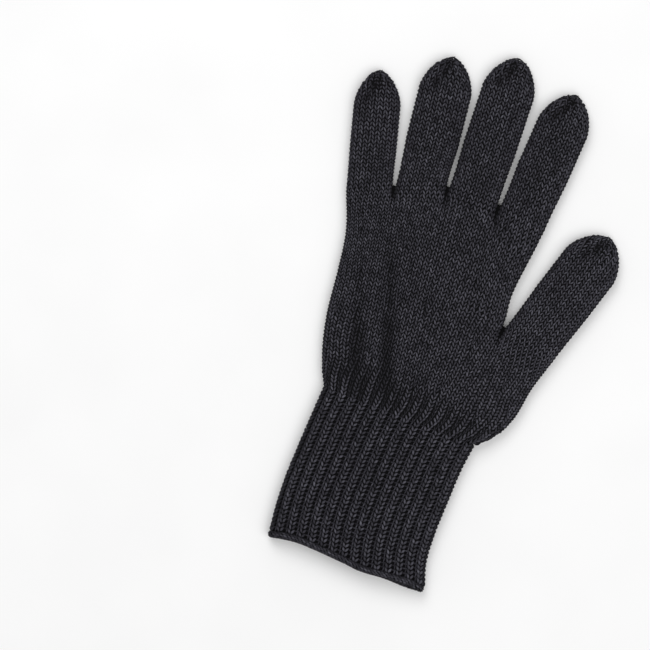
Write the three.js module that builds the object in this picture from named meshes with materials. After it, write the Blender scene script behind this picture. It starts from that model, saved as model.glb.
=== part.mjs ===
import * as THREE from 'three';
import { mergeVertices } from 'three/addons/utils/BufferGeometryUtils.js';

// A knitted glove liner lying flat on its back, hollow from the cuff to every fingertip.
// Millimetres. +Y points to the fingertips, +X to the thumb side, +Z up, the floor is z = 0.
// Pieces are worked out around the wrist line (y = 0), below the ring-middle crotch (x = 0).

// Knitting and play
const wall = 2.0; // stockinette of the hand and fingers
const cuffWall = 2.6; // ribbing
const seamGap = 0.3; // between pieces that meet
const webWidth = 1.2; // between two fingers at their crotch

// Hand
const palmLength = 108.9; // wrist line to the ring-middle crotch
const palmThickness = 11.5;
const edgeHeight = 4.2; // height of the side folds above the floor
const underTuck = 3.0; // how far the rounded underside is pressed flat by the floor
const crotchReach = 14; // length over which the hand swells into separate fingers
const thumbReach = 17.5; // the same at the thumb
const webDrop = 2.8; // how far below a crotch the hollows of two fingers meet
const foldDepth = 1.3;
const foldWidth = 2.4;

// Wrist and cuff
const wristWidth = 76.8;
const wristOffset = 11.6; // middle of the wrist, to the thumb side of the ring-middle crotch
const wristTilt = 3.4; // degrees that the wrist line drops to the thumb side
const cuffLength = 70.8; // wrist line to the middle of the hem's roll
const cuffThickness = 12.5;
const ribCount = 31; // round the whole cuff
const ribDepth = 1.0;
const rollRadius = 1.8; // of the rolled hem
const hemWander = 4.0; // how far the hem strays from a straight line

// Fingertips
const tipLength = 17; // rounded end
const tipRoundness = 1.7;
const tipDent = 0.9;
const tipDentWidth = 3.0;

// Fingers: width where each leaves the hand, and length from there to the tip
const littleWidth = 22.1;
const ringWidth = 24.1;
const middleWidth = 24.2;
const indexWidth = 24.5;
const thumbWidth = 27.5;
const littleLength = 54.8;
const ringLength = 62.1;
const middleLength = 67.4;
const indexLength = 62.8;
const thumbLength = 63.0;
const littleThickness = 9.2;
const fingerThickness = 9.6; // ring, middle and index finger
const thumbThickness = 10.4;

// tilt: slope in degrees of the line where the finger leaves the hand. lean: degrees from +Y
// to the thumb side. fullness: width of the middle as a share of the root's.
const fingers = [
  {
    name: 'little_finger', width: littleWidth, length: littleLength, thick: littleThickness,
    tilt: 22.9, lean: -12.6, fullness: 1.01,
  },
  {
    name: 'ring_finger', width: ringWidth, length: ringLength, thick: fingerThickness,
    tilt: 17.6, lean: -3.8, fullness: 1.045,
  },
  {
    name: 'middle_finger', width: middleWidth, length: middleLength, thick: fingerThickness,
    tilt: -1.4, lean: 0.3, fullness: 1.045,
  },
  {
    name: 'index_finger', width: indexWidth, length: indexLength, thick: fingerThickness,
    tilt: -13.7, lean: 5.8, fullness: 1.05,
  },
  {
    name: 'thumb', width: thumbWidth, length: thumbLength, thick: thumbThickness,
    tilt: -20.7, lean: 19.5, fullness: 1.03,
  },
];
const thumbIndex = 4;

// Seam lines of the hand, from the wrist to the finger roots, little finger's edge first.
// wrist: share of the wrist's width. split: share of the line where the thumb leaves the hand.
// aside: shares of the line, and how far it bows to the thumb side as shares of the wrist's width.
const seamLines = [
  {
    wrist: -0.5,
    split: 0.604,
    aside: [[0, 0], [0.11, -0.03], [0.34, -0.034], [0.6, 0.006], [0.8, 0.027], [1, 0]],
  },
  { wrist: -0.32, split: 0.605, aside: [[0, 0], [0.6, 0.008], [1, 0]] },
  { wrist: -0.12, split: 0.572, aside: [[0, 0], [1, 0]] },
  { wrist: 0.085, split: 0.56, aside: [[0, 0], [1, 0]] },
  { wrist: 0.29, split: 0.54, aside: [[0, 0], [0.54, 0.035], [0.69, 0], [0.91, 0], [1, 0]] },
  { wrist: 0.5, split: 1, aside: [[0, 0], [0.1, 0.05], [0.36, 0.066], [0.7, 0.02], [1, 0]] },
];

// Outer edges of the cuff. down: share of its length. left and right: shares of the wrist's width.
const cuffEdges = [
  { down: 0, left: -0.5, right: 0.49 },
  { down: 0.18, left: -0.517, right: 0.461 },
  { down: 0.4, left: -0.536, right: 0.444 },
  { down: 0.65, left: -0.553, right: 0.428 },
  { down: 0.85, left: -0.553, right: 0.432 },
  { down: 1, left: -0.545, right: 0.466 },
];

// The hem's line across the cuff, as shares of its wander, on the upper and the lower layer
const hemLines = {
  upper: [[0, 0], [0.1, 0.36], [0.22, 0.36], [0.5, -0.2], [0.6, -0.48], [0.8, -0.34], [0.92, -0.34],
    [1, -0.7]],
  lower: [[0, 0], [0.2, 0.26], [0.5, -0.3], [0.8, -0.6], [0.92, -0.76], [1, -0.7]],
};

// Long soft folds on the hand's upper side, as shares of palm length from the wrist line
// and shares of the wrist's width from the ring-middle crotch
const foldFadeIn = [-0.05, 0.35]; // shares of a fold's length
const foldFadeOut = [0.85, 1.1];
const folds = [
  { fromUp: 0.61, fromAcross: -0.39, toUp: 0.1, toAcross: -0.18 },
  { fromUp: 0.76, fromAcross: -0.235, toUp: 0.12, toAcross: 0.0 },
];

// Fineness of the facets
const nudge = 0.01; // share of a seam line over which its direction is taken
const ovalSteps = 720; // points along which a section's length is added up
const stripSteps = 8; // across one finger
const lowerRows = [0, 0.13, 0.28, 0.43, 0.58, 0.73, 0.87, 1];
const upperRows = [0, 0.25, 0.5, 0.7, 0.86, 1];
const fingerRows = [0, 0.1, 0.25, 0.42, 0.6, 0.72, 0.8, 0.86, 0.91, 0.95, 0.98, 0.995, 1];
const boreRows = [0, 0.2, 0.5, 0.75, 0.84, 0.91, 0.96, 0.99, 1];
const stepsPerRib = 4;
const cuffRows = [0, 0.15, 0.35, 0.6, 0.82, 1];
const hemSteps = 64;
const rollSides = 8;

const yarn = { color: 0x28272b, roughness: 0.95, metalness: 0 };
const flatShape = 3.0; // squareness of the hand's and cuff's section
const fingerShape = 2.4; // squareness of a finger's section

const radians = THREE.MathUtils.degToRad;
const lerp = THREE.MathUtils.lerp;
const smoothstep = THREE.MathUtils.smoothstep;

// Height share of a rounded section, 1 in its middle and 0 at its two edges (place -1 and 1)
function rise(place, shape) {
  const inside = 1 - Math.min(1, Math.abs(place)) ** shape;
  return inside ** (1 / shape);
}

// Smooth curve through a table of [position, value] rows
function curveAt(table, position) {
  const last = table.length - 2;
  const found = table.findIndex((row, i) => i <= last && position <= table[i + 1][0]);
  const i = found < 0 ? last : found;
  const slope = (k) => {
    const before = table[Math.max(0, k - 1)];
    const after = table[Math.min(table.length - 1, k + 1)];
    return (after[1] - before[1]) / (after[0] - before[0]);
  };
  const span = table[i + 1][0] - table[i][0];
  const t = (position - table[i][0]) / span;
  const start = table[i][1] * (1 + 2 * t) * (1 - t) ** 2 + slope(i) * span * t * (1 - t) ** 2;
  const end = table[i + 1][1] * t * t * (3 - 2 * t) + slope(i + 1) * span * t * t * (t - 1);
  return start + end;
}

function wristPoint(share) {
  const tilt = radians(wristTilt);
  const reach = share * wristWidth;
  return new THREE.Vector2(wristOffset + reach * Math.cos(tilt), -reach * Math.sin(tilt));
}

function direction(degrees) {
  return new THREE.Vector2(Math.cos(radians(degrees)), Math.sin(radians(degrees)));
}

// Ends of the seam lines at the finger roots. They are laid out by the fingers' own widths,
// out from the ring-middle crotch, with a web between neighbours.
function layOutRoots() {
  const roots = [];
  const halfWeb = webWidth / 2;
  roots[2] = new THREE.Vector2(0, palmLength);
  for (const k of [1, 0]) {
    const next = roots[k + 1].clone();
    next.x -= halfWeb;
    next.addScaledVector(direction(fingers[k].tilt), -fingers[k].width);
    next.x -= k > 0 ? halfWeb : 0;
    roots[k] = next;
  }
  for (const k of [2, 3]) {
    const next = roots[k].clone();
    next.x += halfWeb;
    next.addScaledVector(direction(fingers[k].tilt), fingers[k].width);
    next.x += k < 3 ? halfWeb : 0;
    roots[k + 1] = next;
  }
  return roots;
}

const roots = layOutRoots();

// Point of a seam line at a share of its way from the wrist to its end
function linePoint(k, along) {
  const line = seamLines[k];
  const point = wristPoint(line.wrist).lerp(roots[k], along);
  point.x += curveAt(line.aside, along) * wristWidth;
  return point;
}

// The thumb's outer edge ends where the thumb leaves the hand
const thumbCrotch = linePoint(thumbIndex, seamLines[thumbIndex].split);
const thumb = fingers[thumbIndex];
roots[5] = thumbCrotch.clone().addScaledVector(direction(thumb.tilt), thumb.width);
roots[5].x += webWidth / 2;

// A row of the hand. t runs 0 to 1 over the lower hand, then over the upper hand.
function rowAt(part, t) {
  const upper = part === 'upper';
  const upperLength = palmLength * (1 - seamLines[2].split);
  const lowerLength = palmLength * seamLines[2].split;
  const split = upper ? 1 : smoothstep(t, 1 - thumbReach / lowerLength, 1);
  const open = upper ? smoothstep(t, 1 - crotchReach / upperLength, 1) : 0;
  const along = seamLines.map((line) => (upper ? lerp(line.split, 1, t) : line.split * t));
  return { upper, split, open, along, last: upper ? 4 : 5 };
}

// How far a seam line has opened into a crotch, at a row
function opened(row, k) {
  return k === thumbIndex ? row.split : row.open;
}

// Edge of a strip between two seam lines, moved inwards by the wall for the inner skin.
// side is 1 for the strip's left edge and -1 for its right edge.
function stripEdge(row, k, side, inset) {
  const along = row.along[k];
  const point = linePoint(k, along);
  const outline = k === 0 || k === row.last;
  const back = linePoint(k, Math.max(0, along - nudge));
  const ahead = linePoint(k, Math.min(1, along + nudge));
  const run = ahead.sub(back).normalize();
  const inward = new THREE.Vector2(run.y, -run.x).multiplyScalar(side);
  const web = k === 0 || k === 5 ? 0 : webWidth / 2;
  point.x += web * side;
  return point.addScaledVector(inward, inset * (outline ? 1 : opened(row, k)));
}

// Columns across the hand: each strip's own steps, and one column in each web
function columnsUpTo(lastStrip) {
  const columns = [];
  for (let k = 0; k <= lastStrip; k += 1) {
    for (let i = 0; i <= stripSteps; i += 1) {
      columns.push({ strip: k, step: i });
    }
    if (k < lastStrip) {
      columns.push({ web: k + 1 });
    }
  }
  return columns;
}

// Share across a strip, even in the hand and crowded to the edges where a finger starts
function stepShare(step, open) {
  const even = step / stripSteps;
  const crowded = (1 - Math.cos(Math.PI * even)) / 2;
  return lerp(even, crowded, open);
}

function foldSink(x, y) {
  let sink = 0;
  for (const fold of folds) {
    const from = new THREE.Vector2(fold.fromAcross * wristWidth, fold.fromUp * palmLength);
    const to = new THREE.Vector2(fold.toAcross * wristWidth, fold.toUp * palmLength);
    const run = to.clone().sub(from);
    const offset = new THREE.Vector2(x, y).sub(from);
    const share = offset.dot(run) / run.lengthSq();
    const distance = Math.abs(offset.cross(run)) / run.length();
    const taper = smoothstep(share, ...foldFadeIn) * (1 - smoothstep(share, ...foldFadeOut));
    sink += taper * Math.exp(-((distance / foldWidth) ** 2));
  }
  return sink * foldDepth;
}

// Swell of the hand at a column: how high each stage of the hand rises there, as lengths
// above the side folds. The stages are the whole hand, hand and thumb apart, fingers apart.
function swell(row, column, x, inset) {
  const groupRise = (first, lastLine, thickness, shape) => {
    const left = stripEdge(row, first, 1, inset).x;
    const right = stripEdge(row, lastLine, -1, inset).x;
    const place = (2 * x - left - right) / (right - left);
    return { share: rise(place, shape), thickness };
  };
  const none = { share: 0, thickness: palmThickness };
  const k = column.strip;
  const inThumb = k === thumbIndex;
  const whole = row.upper ? none : groupRise(0, 5, palmThickness, flatShape);
  let parted = none;
  if (column.web !== thumbIndex) {
    parted = inThumb
      ? groupRise(thumbIndex, 5, fingers[k].thick, fingerShape)
      : groupRise(0, thumbIndex, palmThickness, flatShape);
  }
  let single = none;
  if (k !== undefined && !inThumb) {
    single = groupRise(k, k + 1, fingers[k].thick, fingerShape);
  }
  const mix = (part) => {
    const hand = lerp(part(whole), part(parted), row.split);
    return lerp(hand, part(single), row.open);
  };
  return {
    over: mix((stage) => (stage.thickness - inset - edgeHeight) * stage.share),
    under: mix((stage) => (edgeHeight + underTuck - inset) * stage.share),
  };
}

// Point of the hand's skin: inset is 0 outside and the wall inside
function handPoint(row, column, top, inset) {
  let flat;
  if (column.web !== undefined) {
    const k = column.web;
    flat = stripEdge(row, k, 1, 0).add(stripEdge(row, k, -1, 0)).multiplyScalar(0.5);
    flat.y -= inset > 0 ? webDrop * opened(row, k) : 0;
  } else {
    const left = stripEdge(row, column.strip, 1, inset);
    const right = stripEdge(row, column.strip + 1, -1, inset);
    const open = column.strip === thumbIndex ? row.split : row.open;
    flat = left.lerp(right, stepShare(column.step, open));
  }
  const rises = swell(row, column, flat.x, inset);
  const height = top
    ? edgeHeight + rises.over - foldSink(flat.x, flat.y) * Math.min(1, rises.over)
    : Math.max(inset, edgeHeight - rises.under);
  return new THREE.Vector3(flat.x, flat.y, height);
}

// A quad as two triangles of a growing list
function addQuad(triangles, a, b, c, d) {
  triangles.push(a, b, c, a, c, d);
}

// Triangles to one closed body: equal corners are joined and collapsed triangles dropped
function closedBody(triangles) {
  const loose = new THREE.BufferGeometry().setFromPoints(triangles);
  const merged = mergeVertices(loose, 1e-3);
  const index = merged.getIndex().array;
  const kept = [];
  for (let i = 0; i < index.length; i += 3) {
    const [a, b, c] = [index[i], index[i + 1], index[i + 2]];
    if (a !== b && b !== c && c !== a) {
      kept.push(a, b, c);
    }
  }
  merged.setIndex(kept);
  merged.computeVertexNormals();
  return merged;
}

// Skin over a chain of rings with equal point counts; a looped chain returns to its first ring
function skin(rings, looped) {
  const triangles = [];
  const count = rings[0].length;
  const spans = looped ? rings.length : rings.length - 1;
  for (let r = 0; r < spans; r += 1) {
    const near = rings[r];
    const far = rings[(r + 1) % rings.length];
    for (let i = 0; i < count; i += 1) {
      const j = (i + 1) % count;
      addQuad(triangles, near[i], far[i], far[j], near[j]);
    }
  }
  return closedBody(triangles);
}

// Palm: an outer and an inner skin, each with an upper and a lower sheet, and rims at the openings
function makePalm() {
  const triangles = [];
  const allColumns = columnsUpTo(thumbIndex);
  const handColumns = columnsUpTo(thumbIndex - 1);
  const lower = lowerRows.map((t) => rowAt('lower', t));
  const upper = upperRows.map((t) => rowAt('upper', t));
  const sheetPoints = (row, columns, top, inset) => (
    columns.map((column) => handPoint(row, column, top, inset))
  );

  const addSheet = (rows, columns, top, inset) => {
    const outwards = top === (inset === 0);
    const grid = rows.map((row) => sheetPoints(row, columns, top, inset));
    for (let r = 0; r + 1 < grid.length; r += 1) {
      for (let i = 0; i + 1 < columns.length; i += 1) {
        const corners = [grid[r][i], grid[r][i + 1], grid[r + 1][i + 1], grid[r + 1][i]];
        addQuad(triangles, ...(outwards ? corners : corners.reverse()));
      }
    }
  };
  const addRim = (row, columns, top, farEnd) => {
    const outer = sheetPoints(row, columns, top, 0);
    const inner = sheetPoints(row, columns, top, wall);
    for (let i = 0; i + 1 < columns.length; i += 1) {
      const corners = [outer[i], outer[i + 1], inner[i + 1], inner[i]];
      addQuad(triangles, ...(top === farEnd ? corners : corners.reverse()));
    }
  };

  for (const top of [true, false]) {
    for (const inset of [0, wall]) {
      addSheet(lower, allColumns, top, inset);
      addSheet(upper, handColumns, top, inset);
    }
    addRim(lower[0], allColumns, top, false);
    for (let k = 0; k < fingers.length; k += 1) {
      const row = k === thumbIndex ? lower.at(-1) : upper.at(-1);
      const columns = allColumns.filter((column) => column.strip === k);
      addRim(row, columns, top, true);
    }
  }
  return closedBody(triangles);
}

// Half-width share of a fingertip, by the distance left to its end
function tipShare(left, tip) {
  const past = Math.max(0, 1 - left / tip);
  return Math.max(0, 1 - past ** tipRoundness) ** (1 / tipRoundness);
}

// Ring of points round a finger, at a share of its length
function fingerRing(k, t, inset) {
  const finger = fingers[k];
  const length = finger.length - seamGap - inset;
  const distance = t * length;
  const ahead = direction(90 - finger.lean);
  const across = direction(-finger.lean);
  const row = rowAt(k === thumbIndex ? 'lower' : 'upper', 1);
  const rootLeft = stripEdge(row, k, 1, inset);
  const rootRight = stripEdge(row, k + 1, -1, inset);
  const middle = rootLeft.clone().add(rootRight).multiplyScalar(0.5);
  const rootHalf = rootLeft.distanceTo(rootRight) / 2;
  const settle = smoothstep(distance, 0, finger.width);
  const closing = tipShare(length - distance, tipLength - inset);
  const half = rootHalf * lerp(1, finger.fullness, settle) * closing;
  const onAxis = middle.clone().addScaledVector(ahead, distance);
  const settledLeft = onAxis.clone().addScaledVector(across, -half);
  const settledRight = onAxis.clone().addScaledVector(across, half);
  const left = rootLeft.addScaledVector(ahead, distance).lerp(settledLeft, settle);
  const right = rootRight.addScaledVector(ahead, distance).lerp(settledRight, settle);

  const ring = [];
  const sheetPoint = (i, top) => {
    const place = 2 * stepShare(i, 1) - 1;
    const flat = left.clone().lerp(right, (place + 1) / 2).addScaledVector(ahead, seamGap);
    const share = rise(place, fingerShape) * closing;
    const toDent = Math.hypot(length - distance - tipLength / 2, place * half) / tipDentWidth;
    const dent = inset === 0 ? tipDent * Math.exp(-(toDent ** 2)) : 0;
    const over = edgeHeight + (finger.thick - inset - edgeHeight) * share - dent;
    const under = Math.max(inset, edgeHeight - (edgeHeight + underTuck - inset) * share);
    return new THREE.Vector3(flat.x, flat.y, top ? over : under);
  };
  for (let i = 0; i < stripSteps; i += 1) {
    ring.push(sheetPoint(i, true));
  }
  for (let i = stripSteps; i > 0; i -= 1) {
    ring.push(sheetPoint(i, false));
  }
  return ring;
}

// A finger: one skin that runs from the outer tip over the root to the bore's closed end
function makeFinger(k) {
  const outside = [...fingerRows].reverse().map((t) => fingerRing(k, t, 0));
  const bore = boreRows.map((t) => fingerRing(k, t, wall));
  return skin([...outside, ...bore], false);
}

// Even steps round the cuff's flat oval section. Each point has its place and its outward normal.
function cuffSection(down, inset, count) {
  const leftShare = curveAt(cuffEdges.map((row) => [row.down, row.left]), down);
  const rightShare = curveAt(cuffEdges.map((row) => [row.down, row.right]), down);
  const left = wristOffset + wristWidth * leftShare + inset;
  const right = wristOffset + wristWidth * rightShare - inset;
  const oval = [];
  for (let i = 0; i <= ovalSteps; i += 1) {
    const angle = Math.PI - (2 * Math.PI * i) / ovalSteps;
    const along = Math.sign(Math.cos(angle)) * Math.abs(Math.cos(angle)) ** (2 / flatShape);
    const up = Math.abs(Math.sin(angle)) ** (2 / flatShape);
    const over = edgeHeight + (cuffThickness - inset - edgeHeight) * up;
    const under = Math.max(inset, edgeHeight - (edgeHeight + underTuck - inset) * up);
    const height = i <= ovalSteps / 2 ? over : under;
    oval.push(new THREE.Vector2((left + right) / 2 + ((right - left) / 2) * along, height));
  }
  const lengths = [0];
  for (let i = 1; i <= ovalSteps; i += 1) {
    lengths.push(lengths[i - 1] + oval[i].distanceTo(oval[i - 1]));
  }
  const points = [];
  for (let i = 0; i < count; i += 1) {
    const wanted = (lengths[ovalSteps] * i) / count;
    const j = Math.max(1, lengths.findIndex((length) => length >= wanted));
    const share = (wanted - lengths[j - 1]) / (lengths[j] - lengths[j - 1]);
    const place = oval[j - 1].clone().lerp(oval[j], share);
    const run = oval[j].clone().sub(oval[j - 1]).normalize();
    const across = (place.x - left) / (right - left);
    points.push({ place, outward: new THREE.Vector2(-run.y, run.x), across, upper: i <= count / 2 });
  }
  return points;
}

function hemHeight(across, upper) {
  const table = upper ? hemLines.upper : hemLines.lower;
  return -cuffLength + hemWander * curveAt(table, across);
}

function cuffRing(down, inset) {
  const count = ribCount * stepsPerRib;
  const points = cuffSection(down, inset, count);
  return points.map((point, i) => {
    const groove = inset === 0 ? ribDepth * (0.5 + 0.5 * Math.cos((2 * Math.PI * i) / stepsPerRib)) : 0;
    const place = point.place.clone().addScaledVector(point.outward, -groove);
    const top = wristPoint(point.across - 0.5).y - seamGap;
    const bottom = hemHeight(point.across, point.upper) + rollRadius + seamGap;
    return new THREE.Vector3(place.x, lerp(top, bottom, down), place.y);
  });
}

function makeCuff() {
  const outside = cuffRows.map((down) => cuffRing(down, 0));
  const inside = [...cuffRows].reverse().map((down) => cuffRing(down, cuffWall));
  return skin([...inside, ...outside], true);
}

// Rolled hem: a round roll carried along the cuff's lower end
function makeHem() {
  const path = cuffSection(1, rollRadius, hemSteps);
  const rings = path.map((point) => {
    const middle = hemHeight(point.across, point.upper);
    const ring = [];
    for (let i = 0; i < rollSides; i += 1) {
      const angle = (2 * Math.PI * i) / rollSides;
      const out = rollRadius * Math.cos(angle);
      const place = point.place.clone().addScaledVector(point.outward, out);
      ring.push(new THREE.Vector3(place.x, middle + rollRadius * Math.sin(angle), place.y));
    }
    return ring;
  });
  return skin(rings, true);
}

function addPiece(group, name, geometry) {
  const mesh = new THREE.Mesh(geometry, new THREE.MeshStandardMaterial(yarn));
  mesh.name = name;
  group.add(mesh);
}

const glove = new THREE.Group();
addPiece(glove, 'palm', makePalm());
fingers.forEach((finger, k) => addPiece(glove, finger.name, makeFinger(k)));
addPiece(glove, 'rib_cuff', makeCuff());
addPiece(glove, 'rolled_hem', makeHem());

// The origin goes below the middle of the glove, on the floor
const bounds = new THREE.Box3().setFromObject(glove);
const centre = bounds.getCenter(new THREE.Vector3());
glove.position.set(-centre.x, -centre.y, -bounds.min.z);

const part = new THREE.Group();
part.add(glove);

export default part;
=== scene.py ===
import math

import bpy
import numpy as np
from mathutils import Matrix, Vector


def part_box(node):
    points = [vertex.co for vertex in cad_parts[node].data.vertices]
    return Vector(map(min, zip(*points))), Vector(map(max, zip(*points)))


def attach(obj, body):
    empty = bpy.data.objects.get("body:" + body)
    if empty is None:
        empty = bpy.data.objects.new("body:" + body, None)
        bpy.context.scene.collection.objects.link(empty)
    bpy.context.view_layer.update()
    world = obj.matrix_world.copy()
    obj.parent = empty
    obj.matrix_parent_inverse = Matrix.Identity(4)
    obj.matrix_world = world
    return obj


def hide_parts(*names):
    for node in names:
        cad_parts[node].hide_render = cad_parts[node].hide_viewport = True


# A knitted glove liner lying on a pale floor. Every stitch is two short lens-shaped strands of yarn,
# laid row by row over the same hand shape as the CAD model. Shapes are worked out in millimetres
# around the wrist line and turned to metres when a mesh is made.

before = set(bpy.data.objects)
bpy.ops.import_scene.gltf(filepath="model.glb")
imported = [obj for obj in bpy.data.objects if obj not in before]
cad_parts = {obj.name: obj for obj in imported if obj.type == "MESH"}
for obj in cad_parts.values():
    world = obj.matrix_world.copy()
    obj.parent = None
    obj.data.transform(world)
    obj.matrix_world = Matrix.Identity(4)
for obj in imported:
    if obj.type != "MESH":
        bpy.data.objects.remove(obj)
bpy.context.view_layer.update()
randomness = np.random.default_rng(11)

millimetre = 0.001


# Camera and stage

view = {
    "shownWidth": 304.4,  # mm of floor across the image
    "aim": (-51.6, -20.5),  # mm, what the middle of the image looks at
    "lean": 18.0,  # degrees that the glove leans to the right in the image
    "height": 1500.0,  # mm above the floor
    "sensor": 36.0,  # mm
    "farthest": 20.0,  # m that the camera sees
}


def makeCamera():
    # Lens from similar triangles: lens / sensor = height / shown width
    camera = bpy.data.cameras.new("overheadCamera")
    camera.sensor_width = view["sensor"]
    camera.lens = view["sensor"] * view["height"] / view["shownWidth"]
    camera.clip_end = view["farthest"]
    holder = bpy.data.objects.new("overheadCamera", camera)
    bpy.context.collection.objects.link(holder)
    x, y = view["aim"]
    holder.location = Vector((x, y, view["height"])) * millimetre
    holder.rotation_euler = (0, 0, math.radians(view["lean"]))
    bpy.context.scene.camera = holder


light = {
    "windowSize": 900.0,  # mm, soft box
    "windowPlace": (-520.0, 620.0, 1150.0),
    "windowPower": 8.5,
    "fillSize": 1400.0,
    "fillPlace": (500.0, -300.0, 1500.0),
    "fillPower": 13.0,
    "skyStrength": 0.35,
    "skyColour": "#fafafa",
    "floorSize": 8000.0,
}


def makeSoftBox(name, size, place, power):
    # Square area light that faces the origin: its -Z axis runs along minus its place
    lamp = bpy.data.lights.new(name, "AREA")
    lamp.size = size * millimetre
    lamp.energy = power
    holder = bpy.data.objects.new(name, lamp)
    bpy.context.collection.objects.link(holder)
    holder.location = Vector(place) * millimetre
    holder.rotation_euler = (-Vector(place)).to_track_quat("-Z", "Y").to_euler()


makeCamera()
makeSoftBox("windowLight", light["windowSize"], light["windowPlace"], light["windowPower"])
makeSoftBox("fillLight", light["fillSize"], light["fillPlace"], light["fillPower"])
print("camera and lights placed")


# Materials

def linearColour(text):
    # sRGB hex to linear: ((c + 0.055) / 1.055) ** 2.4 above the toe, c / 12.92 below it
    values = [int(text[i:i + 2], 16) / 255 for i in (1, 3, 5)]
    toLinear = [((c + 0.055) / 1.055) ** 2.4 if c > 0.04045 else c / 12.92 for c in values]
    return (*toLinear, 1.0)


def addNode(tree, kind, settings=None, inputs=None, links=None):
    # One node with its settings, its fixed inputs and its links: {input: (node, output)}
    node = tree.nodes.new(kind)
    for name, value in (settings or {}).items():
        setattr(node, name, value)
    for name, value in (inputs or {}).items():
        node.inputs[name].default_value = value
    for name, (source, output) in (links or {}).items():
        tree.links.new(source.outputs[output], node.inputs[name])
    return node


def addRamp(tree, factor, stops):
    # Colour ramp whose stops are (position, sRGB hex)
    ramp = addNode(tree, "ShaderNodeValToRGB", links={"Fac": factor})
    elements = ramp.color_ramp.elements
    while len(elements) < len(stops):
        elements.new(0.5)
    for element, (position, colour) in zip(elements, stops):
        element.position = position
        element.color = linearColour(colour)
    return ramp


def newMaterial(name):
    # Material with an empty node tree
    made = bpy.data.materials.new(name)
    made.use_nodes = True
    made.node_tree.nodes.clear()
    return made, made.node_tree


def perMetre(sizeInMm):
    # Noise scale whose features are about this many millimetres across
    return 1.0 / (sizeInMm * millimetre)


def addRoughness(tree, factor, look):
    # Roughness between the look's two ends, by a pattern
    low, high = look["roughness"]
    return addNode(tree, "ShaderNodeMapRange", None, {"To Min": low, "To Max": high}, {"Value": factor})


yarnLook = {
    "dark": "#0f0e12",
    "middle": "#37363d",
    "light": "#676670",
    # How much each of these adds to the tone between dark and light
    "shadedToneShare": 0.5,
    "driftShare": 0.14,
    "stitchShare": 0.23,
    "plyShare": 0.1,
    # Painted shade: a strand's ends, tucked under other strands, are painted darker than its middle
    "endShadeShare": 0.16,  # a strand's middle is lighter than its ends, which tuck under others
    "driftSize": 16.0,  # mm, cloudy dye differences
    "driftNoise": {"Detail": 3.0, "Roughness": 0.6},
    "stitchSize": 1.9,  # mm, one stitch lighter than the next
    "stitchNoise": {"Detail": 2.0, "Roughness": 0.7},
    "fibreSize": 0.16,  # mm, loose fibres
    "fibreNoise": {"Detail": 3.0, "Roughness": 0.75},
    "plyTurns": 2.6,  # turns of the two plies along a strand
    "plyWave": {"Distortion": 0.6, "Detail": 1.0},
    "plyHeight": 0.10,  # mm
    "plyStrength": 0.8,
    "fibreHeight": 0.05,  # mm
    "fibreStrength": 0.7,
    "stops": (0.1, 0.42, 0.72),  # tones at which dark, middle and light stand
    "roughness": (0.78, 0.98),
    "shine": 0.2,
    "sheen": 0.05,
    "sheenSpread": 0.5,
    "sheenTint": "#9a98a2",
}


def makeYarn(name, look):
    # Spun yarn: matt, two plies twisted along each strand, fuzzy with a soft sheen at grazing
    # angles, and every stitch a little lighter or darker than its neighbours
    made, tree = newMaterial(name)
    place = addNode(tree, "ShaderNodeTexCoord")
    strandMap = addNode(tree, "ShaderNodeUVMap", {"uv_map": "strand"})
    toneWithPaintedShade = addNode(tree, "ShaderNodeAttribute", {"attribute_name": "toneWithPaintedShade"})
    drift, stitch, fibre = [
        addNode(tree, "ShaderNodeTexNoise", None,
                {"Scale": perMetre(look[pattern + "Size"]), **look[pattern + "Noise"]},
                {"Vector": (place, "Object")})
        for pattern in ("drift", "stitch", "fibre")]
    ply = addNode(tree, "ShaderNodeTexWave", {"wave_type": "BANDS", "bands_direction": "DIAGONAL"},
                  {"Scale": look["plyTurns"], **look["plyWave"]}, {"Vector": (strandMap, "UV")})
    # Squared distance from the strand's middle, 1 at both ends, where painted shade darkens the strand as
    # it tucks under others
    along = addNode(tree, "ShaderNodeSeparateXYZ", links={"Vector": (strandMap, "UV")})
    ends = addNode(tree, "ShaderNodeMath", {"operation": "MULTIPLY"}, None,
                   {0: (along, "Y"), 1: (along, "Y")})
    # Each point's tone carries painted shade as well as the stitch's own tone
    # Tone: every pattern times its share, added up
    tone = addNode(tree, "ShaderNodeMath", {"operation": "MULTIPLY"}, {1: look["shadedToneShare"]},
                   {0: (toneWithPaintedShade, "Fac")})
    for pattern, output, share in ((drift, "Fac", look["driftShare"]),
                                   (stitch, "Fac", look["stitchShare"]),
                                   (ply, "Fac", look["plyShare"]),
                                   (ends, "Value", -look["endShadeShare"])):
        tone = addNode(tree, "ShaderNodeMath", {"operation": "MULTIPLY_ADD"}, {1: share},
                       {0: (pattern, output), 2: (tone, "Value")})
    colours = (look["dark"], look["middle"], look["light"])
    colour = addRamp(tree, (tone, "Value"), list(zip(look["stops"], colours)))
    rough = addRoughness(tree, (fibre, "Fac"), look)
    plyBump = addNode(tree, "ShaderNodeBump", None,
                      {"Strength": look["plyStrength"], "Distance": look["plyHeight"] * millimetre},
                      {"Height": (ply, "Fac")})
    bump = addNode(tree, "ShaderNodeBump", None,
                   {"Strength": look["fibreStrength"], "Distance": look["fibreHeight"] * millimetre},
                   {"Height": (fibre, "Fac"), "Normal": (plyBump, "Normal")})
    shader = addNode(tree, "ShaderNodeBsdfPrincipled", None,
                     {"Specular IOR Level": look["shine"], "Sheen Weight": look["sheen"],
                      "Sheen Roughness": look["sheenSpread"],
                      "Sheen Tint": linearColour(look["sheenTint"])},
                     {"Base Color": (colour, "Color"), "Roughness": (rough, "Result"),
                      "Normal": (bump, "Normal")})
    addNode(tree, "ShaderNodeOutputMaterial", links={"Surface": (shader, "BSDF")})
    return made


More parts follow.
